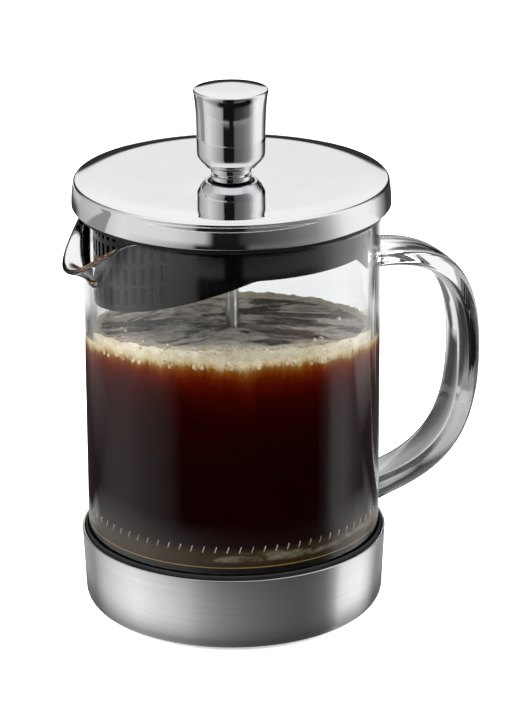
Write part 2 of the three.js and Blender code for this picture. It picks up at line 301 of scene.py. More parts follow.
def polished_steel():
    f = Finish("polished_steel")
    f.set(Metallic=1.0)
    f.drive("Base Color", f.ramp(f.noise(f.place(), 60, 4), (0.3, (0.83, 0.835, 0.845)), (0.7, (0.89, 0.89, 0.90))))
    f.drive("Roughness", f.ramp(f.noise(f.place(1, 1, 1.6), 110, 6, 0.65), (0.35, 0.02), (0.75, 0.07)))
    f.bump(f.noise(f.place(), 45, 2), 0.03, 0.0002)
    return f.material


def satin_steel():
    """Steel brushed round the cup in fine level lines."""
    f = Finish("satin_steel")
    f.set(Metallic=1.0, Anisotropic=0.8, Anisotropic_Rotation=0.25)
    lines = f.noise(f.place(10, 10, 3200), 1, 5, 0.7)
    f.drive("Base Color", f.ramp(lines, (0.25, (0.63, 0.633, 0.64)), (0.75, (0.70, 0.70, 0.705))))
    f.drive("Roughness", f.ramp(f.noise(f.place(14, 14, 260), 1, 3), (0.3, 0.19), (0.7, 0.25)))
    f.bump(lines, 0.05, 0.00004)
    f.drive("Tangent", f.add("Tangent", {"direction_type": "RADIAL", "axis": "Z"}).outputs["Tangent"])
    return f.material


def drawn_steel():
    """Bright drawn rod, with faint lines along it."""
    f = Finish("drawn_steel")
    f.set(Metallic=1.0)
    lines = f.noise(f.place(4000, 4000, 12), 1, 3)
    f.drive("Base Color", f.ramp(lines, (0.3, (0.78, 0.78, 0.79)), (0.7, (0.86, 0.86, 0.87))))
    f.drive("Roughness", f.ramp(lines, (0.3, 0.16), (0.7, 0.26)))
    f.bump(lines, 0.05, 0.00004)
    return f.material


def spring_wire():
    """Dull wire, stained by coffee."""
    f = Finish("spring_wire")
    f.set(Metallic=0.6)
    stain = f.noise(f.place(), 300, 3)
    f.drive("Base Color", f.ramp(stain, (0.35, (0.50, 0.34, 0.24)), (0.65, (0.66, 0.56, 0.46))))
    f.drive("Roughness", f.ramp(stain, (0.3, 0.42), (0.7, 0.55)))
    return f.material


def filter_steel():
    f = Finish("filter_steel")
    f.set(Metallic=1.0)
    grain = f.noise(f.place(), 900, 4)
    f.drive("Base Color", f.ramp(grain, (0.3, (0.58, 0.58, 0.57)), (0.7, (0.74, 0.74, 0.73))))
    f.drive("Roughness", f.ramp(f.noise(f.place(), 150, 3), (0.3, 0.2), (0.7, 0.34)))
    f.bump(grain, 0.08, 0.00005)
    return f.material


def woven_wire():
    """Fine plain weave: two sets of crossed wires in the plane of the disc."""
    f = Finish("woven_wire")
    f.set(Metallic=1.0, Roughness=0.35)
    waves = []
    for direction in "XY":
        wave = f.add("TexWave", {"wave_type": "BANDS", "bands_direction": direction}, Scale=620.0)
        f.link(f.place(), wave.inputs["Vector"])
        waves.append(wave.outputs["Fac"])
    height = f.math("MAXIMUM", *waves)
    f.drive("Base Color", f.ramp(height, (0.35, (0.05, 0.05, 0.05)), (0.8, (0.62, 0.61, 0.58))))
    f.bump(height, 0.6, 0.0002)
    return f.material


def clear_glass():
    f = Finish("clear_glass")
    f.set(Roughness=0.0, IOR=1.47, Transmission_Weight=1.0)
    f.drive("Base Color", f.ramp(f.noise(f.place(), 18, 2), (0.3, (0.975, 0.985, 0.985)), (0.7, (0.99, 0.995, 0.995))))
    f.bump(f.noise(f.place(), 26, 2), 0.04, 0.0003)
    return f.material


def black_plastic():
    f = Finish("black_plastic")
    grain = f.noise(f.place(), 1400, 3)
    f.drive("Base Color", f.ramp(f.noise(f.place(), 40), (0.3, (0.0020, 0.0020, 0.0022)), (0.7, (0.0040, 0.0040, 0.0044))))
    f.drive("Roughness", f.ramp(grain, (0.3, 0.20), (0.7, 0.28)))
    f.set(Specular_IOR_Level=0.25)
    f.bump(grain, 0.12, 0.00004)
    return f.material


def black_silicone():
    f = Finish("black_silicone")
    grain = f.noise(f.place(), 1900, 3)
    f.drive("Base Color", f.ramp(f.noise(f.place(), 60), (0.3, (0.004, 0.004, 0.0045)), (0.7, (0.008, 0.008, 0.009))))
    f.drive("Roughness", f.ramp(grain, (0.3, 0.55), (0.7, 0.72)))
    f.bump(grain, 0.2, 0.00004)
    return f.material


# colours of the coffee by depth in millimetres below its level, from foam to liquid; under the foam the red-brown
# fading to near black is a painted glow, light through the coffee's top layers
FOAM_AND_PAINTED_GLOW = ((0.0, (0.76, 0.72, 0.58)), (1.8, (0.68, 0.61, 0.43)), (3.0, (0.46, 0.34, 0.16)), (4.0, (0.24, 0.105, 0.020)),
          (5.2, (0.16, 0.036, 0.004)), (7, (0.095, 0.011, 0.001)), (9.5, (0.060, 0.0032, 0.0005)),
          (13, (0.032, 0.0012, 0.0003)), (17, (0.019, 0.0005, 0.0002)), (24, (0.011, 0.0002, 0.0001)),
          (40, (0.007, 0.0001, 0.0001)))


def depth_below(f, x, y, z):
    """Millimetres below the coffee's level, made uneven so that the foam's edge is ragged and drips."""
    slope = COFFEE_SLOPE / COFFEE_R
    tilt = f.math("ADD", f.math("MULTIPLY", x, slope * FRONT.x), f.math("MULTIPLY", y, slope * FRONT.y))
    depth = f.math("MULTIPLY", f.math("ADD", f.math("SUBTRACT", COFFEE_Z * MM, z), tilt), 1000)
    drips = f.math("MULTIPLY", f.math("SUBTRACT", f.noise(f.place(1, 1, 0.25), 260, 5, 0.7), 0.5), 7.0)
    waves = f.math("MULTIPLY", f.math("SUBTRACT", f.noise(f.place(1, 1, 0.3), 48, 3), 0.5), 6.0)
    return f.math("ADD", depth, f.math("ADD", drips, waves))


def foam_and_coffee(f):
    """Colour from the foam's top down into the depth, with pits and bubbles in the foam; under the foam it carries the
    painted glow of light through the coffee.
    """
    spot = f.place()
    split = f.add("SeparateXYZ")
    f.link(spot, split.inputs[0])
    share = f.math("DIVIDE", depth_below(f, *split.outputs), 40)
    body = f.ramp(share, *((depth / 40, colour) for depth, colour in FOAM_AND_PAINTED_GLOW))
    froth = f.add("TexVoronoi", {"feature": "F1"}, Scale=1000.0)
    f.link(spot, froth.inputs["Vector"])
    cloud = f.noise(f.place(1, 1, 1.4), 210, 6, 0.7)
    in_foam = f.ramp(share, (0.02, 1.0), (0.10, 0.0))
    body = f.mix(f.math("MULTIPLY", f.ramp(cloud, (0.40, 0.55), (0.60, 0.0)), in_foam), body, (0.40, 0.29, 0.13))
    # bright spots in the middles of the foam's bubbles: painted highlights
    painted_bubble_highlight = f.math("MULTIPLY", f.ramp(froth.outputs["Distance"], (0.0, 0.5), (0.5, 0.0)), in_foam)
    body = f.mix(painted_bubble_highlight, body, (0.80, 0.76, 0.62))
    f.drive("Roughness", f.ramp(f.noise(spot, 80), (0.3, 0.45), (0.7, 0.6)))
    f.set(Specular_IOR_Level=0.0)
    return body, froth.outputs["Distance"], split.outputs


def coffee_liquid():
    """Nearly black in its depth, red-brown just under the foam (a painted glow of light through the coffee),
    olive-brown under the filter.
    """
    f = Finish("coffee_liquid")
    top, _, (_, _, z) = foam_and_coffee(f)
    low = f.math("DIVIDE", f.math("SUBTRACT", z, 0.024), 0.01)
    bottom = f.ramp(low, (0.0, (0.002, 0.002, 0.002)), (0.262, (0.002, 0.002, 0.002)), (0.270, (0.40, 0.24, 0.045)),
                    (0.284, (0.36, 0.21, 0.045)), (0.292, (0.020, 0.010, 0.002)), (0.62, (0.036, 0.020, 0.005)),
                    (0.80, (0.024, 0.014, 0.005)), (0.92, (0.007, 0.0008, 0.0003)))
    pale = f.noise(f.place(1, 1, 2.6), 55, 5, 0.6, 0.8)
    at_plate = f.ramp(low, (0.42, 0.0), (0.52, 1.0), (0.70, 1.0), (0.80, 0.0))
    streak = f.math("MULTIPLY", f.ramp(pale, (0.50, 0.0), (0.60, 0.7)), at_plate)
    fine = f.ramp(f.noise(f.place(1, 1, 3), 260, 5, 0.7), (0.35, (0.08, 0.07, 0.04)), (0.65, (0.24, 0.22, 0.15)))
    bottom = f.mix(streak, bottom, fine)
    f.drive("Base Color", f.mix(f.ramp(low, (0.86, 0.0), (0.98, 1.0)), bottom, top))
    return f.material


def coffee_crema():
    """Foam: cream at its top, browner where it drips into the coffee and meets the painted red-brown glow, pitted by
    fine bubbles with painted highlights.
    """
    f = Finish("coffee_crema")
    body, pits, _ = foam_and_coffee(f)
    f.drive("Base Color", body)
    f.bump(pits, 0.35, 0.0002)
    return f.material


def bubble_skin():
    f = Finish("bubble_skin")
    film = f.ramp(f.noise(f.place(), 420, 3), (0.3, (0.34, 0.24, 0.11)), (0.7, (0.66, 0.58, 0.42)))
    f.drive("Base Color", film)
    f.drive("Roughness", f.ramp(f.noise(f.place(), 90), (0.3, 0.1), (0.7, 0.25)))
    return f.material


def coffee_surface():
    """The top of the coffee: dark, with pale swirls of foam that gather at the glass."""
    f = Finish("coffee_surface")
    spot = f.place()
    split = f.add("SeparateXYZ")
    f.link(spot, split.inputs[0])
    x, y, _ = split.outputs
    radius = f.math("SQRT", f.math("ADD", f.math("MULTIPLY", x, x), f.math("MULTIPLY", y, y)))
    nearness = f.math("ADD", f.math("MULTIPLY", x, FRONT.x), f.math("MULTIPLY", y, FRONT.y))
    swirl = f.noise(f.place(1.0, 1.6, 1), 17, 8, 0.66, 1.9)
    wisps = f.noise(f.place(1.4, 1.0, 1), 75, 7, 0.72, 1.2)
    brown = f.ramp(f.noise(spot, 60, 5), (0.3, (0.030, 0.014, 0.008)), (0.7, (0.095, 0.054, 0.032)))
    streaks = f.math("MULTIPLY", f.ramp(swirl, (0.46, 0.0), (0.52, 1.0), (0.60, 0.8), (0.70, 0.1)),
                     f.ramp(wisps, (0.34, 0.1), (0.56, 1.0)))
    colour = f.mix(streaks, brown, (0.66, 0.60, 0.52))
    far_in = f.math("ADD", nearness, f.math("MULTIPLY", f.noise(f.place(1, 1, 1), 120, 6, 0.7), 0.014))
    colour = f.mix(f.ramp(f.math("DIVIDE", far_in, 0.05), (0.62, 0.0), (0.74, 0.85)), colour, (0.72, 0.67, 0.52))
    specks = f.add("TexVoronoi", {"feature": "F1"}, Scale=1500.0)
    f.link(spot, specks.inputs["Vector"])
    fine = f.ramp(f.math("ADD", specks.outputs["Distance"], f.math("MULTIPLY", f.noise(spot, 180, 4), 0.7)),
                  (0.52, 1.0), (0.66, 0.0))
    at_front = f.ramp(f.math("DIVIDE", f.math("ADD", nearness, f.math("MULTIPLY", f.noise(spot, 50), 0.02)), 0.05),
                      (0.45, 0.0), (0.8, 0.85))
    colour = f.mix(f.math("MULTIPLY", fine, at_front), colour, (0.72, 0.66, 0.48))
    wide = f.math("ADD", radius, f.math("MULTIPLY", f.noise(spot, 90, 4), 0.003))
    colour = f.mix(f.ramp(f.math("DIVIDE", wide, 0.05), (0.82, 0.0), (0.865, 1.0)), colour, (0.50, 0.42, 0.22))
    f.drive("Base Color", colour)
    f.drive("Roughness", f.ramp(swirl, (0.4, 0.22), (0.65, 0.5)))
    f.set(Specular_IOR_Level=0.08)
    f.bump(f.noise(spot, 70, 4), 0.08, 0.0004)
    return f.material


POLISHED, SATIN, FILTER, WOVEN = polished_steel(), satin_steel(), filter_steel(), woven_wire()
DRAWN, WIRE = drawn_steel(), spring_wire()
GLASS, PLASTIC, SILICONE = clear_glass(), black_plastic(), black_silicone()
COFFEE, CREMA, SURFACE, BUBBLE = coffee_liquid(), coffee_crema(), coffee_surface(), bubble_skin()


# ---- base ----
def make_base():
    foot, lip, floor = base_lo.z, base_hi.z, pad_hi.z + 0.3
    recess_r, top_r = pad_hi.x + 0.3, base_hi.x
    foot_r = top_r - 1.1
    bm = turned(rounded((0, floor), (recess_r, floor, 0.3), (recess_r + 0.2, foot, 0.3), (foot_r, foot, 4.2),
                        (top_r, lip, 0.35), (top_r - 0.8, lip, 0.35), (foot_r - 0.8, floor + 0.8, 3.7),
                        (0, floor + 0.8), steps=8), 192)
    piece(bm, "base_cup", "base", SATIN, "steel_satin", "steel_base_cup")
    bm = turned(rounded((0, pad_lo.z), (pad_hi.x, pad_lo.z, 0.4), (pad_hi.x, pad_hi.z, 0.2), (0, pad_hi.z)))
    piece(bm, "foot_disc", "base", SILICONE, "silicone_black", "foot_pad")
    bm = turned(rounded((0, rest_lo.z), (rest_hi.x, rest_lo.z, 0.4), (rest_hi.x, rest_hi.z, 0.4), (0, rest_hi.z)))
    piece(bm, "rest_disc", "base", SILICONE, "silicone_black", "rest_pad")
    inner_r, outer_r = ring_hi.x - 0.6, ring_hi.x
    bm = turned([(inner_r, ring_lo.z), (inner_r + 0.24, ring_lo.z), (outer_r, base_hi.z), (outer_r, ring_hi.z - 0.2),
                 (outer_r - 0.2, ring_hi.z), (inner_r + 0.15, ring_hi.z), (inner_r, ring_hi.z - 0.15)], closed=True)
    piece(bm, "glass_seal", "base", SILICONE, "silicone_black", "seal_ring")


# ---- beaker ----
def into_spout(co):
    """Moves a point of the round jug into its spout, near the rim at -X."""
    offset = math.atan2(co.y, -co.x)
    rise = min(1, max(0, (co.z - SPOUT_ROOT_Z) / SPOUT_DEPTH))
    radius = math.hypot(co.x, co.y)
    if abs(offset) >= SPOUT_HALF_ANGLE or rise == 0 or radius < INNER_R / 2:
        return co
    across = (0.5 + 0.5 * math.cos(math.pi * offset / SPOUT_HALF_ANGLE)) ** 1.6
    scale = 1 + SPOUT_REACH * across * rise ** SPOUT_FLARE / radius
    bead = SPOUT_BEAD * across ** 0.5 * rise ** 8 * (radius - INNER_R) / GLASS_WALL
    drop = SPOUT_DIP * across * rise ** 2 * (3 - 2 * rise)
    return Vector((co.x * scale, co.y * scale, co.z - drop - bead))


def bezier(a, b, c, d, t):
    s = 1 - t
    return a * s ** 3 + 3 * b * s * s * t + 3 * c * s * t * t + d * t ** 3


def handle_point(t):
    """A point of the handle's centre line, t from 0 at the upper arm to 2 at the lower arm."""
    def at(out, up):
        return Vector((BEAKER_R + out * HANDLE_GRIP, 0, HANDLE_FOOT_Z + up * (HANDLE_TOP_Z - HANDLE_FOOT_Z)))
    if t <= 1:
        return bezier(at(-0.06, 1), at(0.68, 1), at(1, 0.9), at(1, 0.56), t)
    return bezier(at(1, 0.56), at(1, 0.28), at(0.84, 0.07), at(-0.06, 0), t - 1)


def handle_bar():
    section = []
    for k in range(48):
        c, s = math.cos(TAU * k / 48), math.sin(TAU * k / 48)
        wide = math.copysign(abs(c) ** 0.5, c) * HANDLE_W / 2
        thick = math.copysign(abs(s) ** 0.6, s) * HANDLE_T / 2
        section.append((wide, thick, 0))
    stations = []
    count = 96
    for i in range(count + 1):
        t = 2 * i / count
        here = handle_point(t)
        along = (handle_point(min(2, t + 0.01)) - handle_point(max(0, t - 0.01))).normalized()
        side = Vector((0, 1, 0))
        up = along.cross(side)
        near = min(t, 2 - t)
        flare = 1 + 0.16 * math.exp(-near * 22)
        turn = Matrix((side * flare, up * flare, along)).transposed().to_4x4()
        stations.append(Matrix.Translation(here) @ turn)
    return swept(section, stations)


def make_beaker():
    floor_z = glass_lo.z + GLASS_FLOOR
    levels = [SPOUT_ROOT_Z + SPOUT_DEPTH * k / 34 for k in range(33)]
    lip = GLASS_WALL / 2
    outer = rounded((0, glass_lo.z), (BEAKER_R, glass_lo.z, HEEL_R), (BEAKER_R, SPOUT_ROOT_Z), steps=10)
    inner = rounded((INNER_R, SPOUT_ROOT_Z), (INNER_R, floor_z, HEEL_R - GLASS_WALL), (0, floor_z), steps=8)
    rim = [Vector((BEAKER_R - lip + lip * math.cos(a), RIM_Z - lip + lip * math.sin(a)))
           for a in (math.pi * k / 10 for k in range(11))]
    profile = outer + [Vector((BEAKER_R, z)) for z in levels[1:]] + rim
    profile += [Vector((INNER_R, z)) for z in reversed(levels[1:])] + inner
    jug = turned(profile, 180)
    for vert in jug.verts:
        vert.co = into_spout(vert.co)
    bm = combined(jug, handle_bar(), "UNION")
    bmesh.ops.remove_doubles(bm, verts=bm.verts, dist=1e-4)
    piece(bm, "glass_jug", "beaker", GLASS, "glass_clear", "glass_beaker", "glass_handle", crease=50)


# ---- lid ----
def lid_top(r):
    """Height of the lid's top: almost flat, with a soft shoulder in its last millimetres."""
    return lid_hi.z - 0.010 * r - 0.85 * max(0, (r - 38) / 8.5) ** 2.2


def make_lid():
    outer_r, bore = lid_hi.x, bush_hi.x - 1.7 + 0.3
    wall = 0.9
    top_r = outer_r - 1.5
    top = [(top_r - (top_r - bore) * (k / 26) ** 1.4, lid_top(top_r - (top_r - bore) * (k / 26) ** 1.4))
           for k in range(27)]
    shoulder_z = lid_hi.z - 1.5
    side = [(outer_r - 0.55 * t * t, lid_lo.z + 0.35 + t * (shoulder_z - 1.3 - lid_lo.z)) for t in (k / 12 for k in range(13))]
    fillet = rounded(side[-1], (outer_r - 0.66, top[0][1] - 0.02, 1.0), top[0], steps=8)
    inside = rounded((bore, lid_hi.z - wall), (23, lid_hi.z - wall - 0.2), (outer_r - 0.7 - wall, lid_hi.z - 2.5, 0.6),
                     (outer_r - wall, lid_lo.z), steps=4)
    foot = rounded((outer_r - wall, lid_lo.z), (outer_r, lid_lo.z, 0.3), side[0], steps=4)
    bm = turned([*foot, *side[1:-1], *fillet, *top[1:-1], (bore + 0.2, lid_hi.z - 0.05), (bore, lid_hi.z - 0.25),
                 *inside[:-1]], 192, closed=True)
    piece(bm, "lid_shell", "lid", POLISHED, "steel_polished", "lid_cover", crease=50)
    boss_r = bush_hi.x - 1.7 + 4.3
    bm = turned(rounded((bore, liner_lo.z), (liner_hi.x, liner_lo.z, 0.3), (liner_hi.x, liner_lo.z + 2, 0.3),
                        (boss_r, liner_lo.z + 2, 0.6), (boss_r, liner_hi.z, 0.3), (bore, liner_hi.z)), closed=True)
    piece(bm, "liner_disc", "lid", PLASTIC, "plastic_black", "lid_liner")


def strainer_edge_z(angle):
    """Height of the strainer's lower edge at an angle from its deepest side."""
    return min(strainer_lo.z + 15.6 * (1 - math.cos(angle)), RIM_Z - 9.4)


def make_strainer():
    outer_r, wall, top = INNER_R - 0.7, 1.6, strainer_hi.z
    inner_r = outer_r - wall
    low = strainer_lo.z
    bm = turned(rounded((inner_r, low), (outer_r, low, 0.3), (outer_r, low + 2), (outer_r, top, 0.2), (inner_r, top),
                        (inner_r, low + 2)), closed=True)
    for vert in bm.verts:
        angle = math.atan2(vert.co.y, -vert.co.x)
        if vert.co.z < low + 2.5:
            vert.co.z += strainer_edge_z(angle) - low
    cutters = bmesh.new()
    pitch, width, height, bar = math.radians(4.7), 1.7, 5.0, 1.4
    for column in range(-12, 13):
        angle = column * pitch
        z = strainer_edge_z(angle) + 2
        while z < RIM_Z - 2 * bar:
            tall = min(height, RIM_Z - bar - z)
            turn = Matrix.Rotation(-angle, 4, "Z") @ Matrix.Translation((-(outer_r + inner_r) / 2, 0, z + tall / 2))
            made = bmesh.ops.create_cube(cutters, size=1, matrix=turn @ Matrix.Diagonal((4.8, width, tall, 1)))
            edges = {edge for vert in made["verts"] for edge in vert.link_edges}
            across = turn.to_3x3() @ Vector((1, 0, 0))
            level = [e for e in edges if abs((e.verts[0].co - e.verts[1].co).normalized().dot(across)) > 0.9]
            bmesh.ops.bevel(cutters, geom=level, offset=0.35, offset_type="OFFSET", affect="EDGES", segments=3,
                            profile=0.5, material=-1)
            z += height + bar
    bm = combined(bm, cutters, "DIFFERENCE")
    bmesh.ops.rotate(bm, cent=(0, 0, 0), matrix=Matrix.Rotation(LID_TURN, 3, "Z"), verts=bm.verts)
    piece(bm, "strainer_drum", "lid", PLASTIC, "plastic_black", "strainer")
    bm = turned([(inner_r - 0.1, low), (inner_r + 0.35, low), (inner_r + 0.35, top), (inner_r - 0.1, top)], closed=True)
    for vert in bm.verts:
        if vert.co.z < low + 1:
            vert.co.z += strainer_edge_z(math.atan2(vert.co.y, -vert.co.x)) - low + 0.6
    bmesh.ops.rotate(bm, cent=(0, 0, 0), matrix=Matrix.Rotation(LID_TURN, 3, "Z"), verts=bm.verts)
    piece(bm, "strainer_screen", "lid", SILICONE, "plastic_black")


def hex_nut(lo, hi, bore):
    """A chamfered six-sided nut with a round bore."""
    corner_r = hi.x
    bm = turned(rounded((bore, lo.z), (corner_r * 0.9, lo.z), (corner_r, lo.z + 0.5), (corner_r, hi.z - 0.5),
                        (corner_r * 0.9, hi.z), (bore, hi.z)), 48, closed=True)
    flats = bmesh.new()
    bmesh.ops.create_circle(flats, cap_ends=True, segments=6, radius=corner_r)
    grown = bmesh.ops.extrude_face_region(flats, geom=flats.faces[:])["geom"]
    moved = [item for item in grown if isinstance(item, bmesh.types.BMVert)]
    bmesh.ops.translate(flats, vec=(0, 0, hi.z - lo.z + 2), verts=moved)
    bmesh.ops.translate(flats, vec=(0, 0, lo.z - 1), verts=flats.verts)
    bmesh.ops.recalc_face_normals(flats, faces=flats.faces)
    return combined(bm, flats, "INTERSECT")


def make_hub():
    head_r = bush_hi.x
    shank_r, bore = head_r - 1.7, rod_hi.x + 0.08
    head_z = lid_hi.z + 0.3
    bm = turned(rounded((bore, bush_lo.z), (shank_r, bush_lo.z, 0.3), (shank_r, head_z), (head_r, head_z, 0.3),
                        (head_r, bush_hi.z, 0.5), (bore, bush_hi.z, 0.2), (bore, bush_hi.z - 1)), 96, closed=True)
    piece(bm, "guide_bush", "lid_hub", POLISHED, "steel_polished", "rod_guide_bush")
    piece(hex_nut(bush_nut_lo, bush_nut_hi, shank_r + 0.3), "lock_nut", "lid_hub", FILTER, "steel_satin", "bush_nut")


# ---- plunger ----
def make_knob():
    foot, height = knob_lo.z, knob_hi.z - knob_lo.z

    def side(share):
        return 10.2 + 0.4 * share + 0.85 * share ** 6

    shares = [0.14 + 0.82 * k / 16 for k in range(17)]
    outside = [Vector((side(s), foot + s * height)) for s in shares]
    rim_r, top = side(1), knob_hi.z
    dome = [(r, top + 0.55 - 0.75 * (r / rim_r) ** 4) for r in (rim_r - 0.8, 9.2, 8.0, 6.5, 5.0, 3.0, 0)]
    crown = [*rounded(outside[-1], (rim_r - 0.02, dome[0][1] - 0.12, 0.6), dome[0], steps=6), *dome[1:]]
    roll = rounded((6.95, foot + 1), (6.95, foot, 0.3), (7.9, foot, 0.4), (9.3, foot + 1.7, 1.6), outside[0], steps=6)
    inside = [(0, top - 1.7), (side(0.9) - 1, foot + 0.9 * height), (side(0.2) - 1, foot + 0.2 * height),
              (7.55, foot + 1.3)]
    bm = turned([*reversed(crown[1:]), *reversed(outside), *reversed(roll[:-1]), *reversed(inside)], 128)
    piece(bm, "knob_cap", "plunger", POLISHED, "steel_polished", "knob_shell")
    bm = turned(rounded((0, foot + 15), (2.3, foot + 15), (2.3, foot), (6.65, foot, 0.3), (6.65, foot + 1.6),
                        (8.35, foot + 4.7), (8.35, core_hi.z, 0.5), (0, core_hi.z)), SMALL_ROUND)
    piece(bm, "knob_insert", "plunger", PLASTIC, "plastic_black", "knob_core")


def disc(lo, hi, bore=2.3, edge=0.15):
    return turned(rounded((bore, lo.z), (hi.x, lo.z, edge), (hi.x, hi.z, edge), (bore, hi.z), steps=3), closed=True)


def post(bm, outline, lo, hi):
    """Adds an upright prism over a closed outline, standing past both faces of a plate."""
    verts = [bm.verts.new((x, y, lo.z - 1)) for x, y in outline]
    face = bm.faces.new(verts)
    grown = bmesh.ops.extrude_face_region(bm, geom=[face])["geom"]
    moved = [item for item in grown if isinstance(item, bmesh.types.BMVert)]
    bmesh.ops.translate(bm, vec=(0, 0, hi.z - lo.z + 2), verts=moved)


def ring_of(centre_r, angle, radius, count=20):
    return [(centre_r * math.cos(angle) + radius * math.cos(TAU * k / count),
             centre_r * math.sin(angle) + radius * math.sin(TAU * k / count)) for k in range(count)]


def make_filter():
    bm = turned(rounded((0, rod_lo.z), (rod_hi.x, rod_lo.z, 0.3), (rod_hi.x, rod_hi.z, 0.5), (0, rod_hi.z)), SMALL_ROUND)
    piece(bm, "rod", "plunger", DRAWN, "steel_polished", "plunger_rod")
    bm = turned(rounded((2.3, collar_lo.z), (4.7, collar_lo.z, 0.4), (4.7, collar_hi.z, 0.5), (2.3, collar_hi.z)),
                SMALL_ROUND, closed=True)
    piece(bm, "stop_collar", "plunger", FILTER, "steel_satin", "rod_collar")

    cutters = bmesh.new()
    for share, count in ((0.36, 8), (0.6, 12), (0.83, 16)):
        for i in range(count):
            post(cutters, ring_of(share * plate_hi.x, TAU * i / count, 2.2), plate_lo, plate_hi)
    bmesh.ops.recalc_face_normals(cutters, faces=cutters.faces)
    bm = combined(disc(plate_lo, plate_hi), cutters, "DIFFERENCE")
    piece(bm, "drilled_plate", "plunger", FILTER, "steel_satin", "spring_plate")

    piece(disc(mesh_lo, mesh_hi), "woven_disc", "plunger", WOVEN, "steel_filter", "mesh_filter")

    cutters = bmesh.new()
    for i in range(12):
        start, sweep = TAU * (i + 0.14) / 12, TAU * 0.72 / 12
        far = [(36.5 * math.cos(start + sweep * k / 8), 36.5 * math.sin(start + sweep * k / 8)) for k in range(9)]
        near = [(9.2 * math.cos(start + sweep * k / 2), 9.2 * math.sin(start + sweep * k / 2)) for k in (2, 1, 0)]
        post(cutters, far + near, cross_lo, cross_hi)
    bmesh.ops.recalc_face_normals(cutters, faces=cutters.faces)
    bm = combined(disc(cross_lo, cross_hi), cutters, "DIFFERENCE")
    piece(bm, "windowed_plate", "plunger", FILTER, "steel_filter", "cross_plate")
    piece(hex_nut(nut_lo, nut_hi, 2.3), "hub_nut", "plunger", FILTER, "steel_satin", "filter_nut")


def make_spring():
    """A wire coil closed into a ring, so that it rubs on the glass all round."""
    turns, per_turn, wire = 74, 20, 0.15
    ring_r, coil_r = (spring_hi.x - 1.4), 1.4 + 0.46
    level = (spring_lo.z + spring_hi.z) / 2
    curve = bpy.data.curves.new("coil_wire", "CURVE")
    curve.dimensions = "3D"
    curve.bevel_depth = wire
    curve.bevel_resolution = 1
    curve.resolution_u = 1
    spline = curve.splines.new("POLY")
    spline.points.add(turns * per_turn - 1)
    spline.use_cyclic_u = True
    for i, point in enumerate(spline.points):
        a, b = TAU * i / (turns * per_turn), TAU * i / per_turn
        r = ring_r + coil_r * math.cos(b)
        point.co = (r * math.cos(a), r * math.sin(a), level + coil_r * math.sin(b), 1)
    obj = bpy.data.objects.new("coil_wire", curve)
    bpy.context.scene.collection.objects.link(obj)
    piece(applied(obj), "wire_spring", "plunger", WIRE, "steel_polished", "rim_spring", crease=80)


# ---- coffee ----
def coffee_level(co):
    return COFFEE_Z + COFFEE_SLOPE * (co.x * FRONT.x + co.y * FRONT.y) / COFFEE_R


def ragged(angle, offset, scale):
    return noise.noise(Vector((math.cos(angle) * scale, math.sin(angle) * scale, offset)))


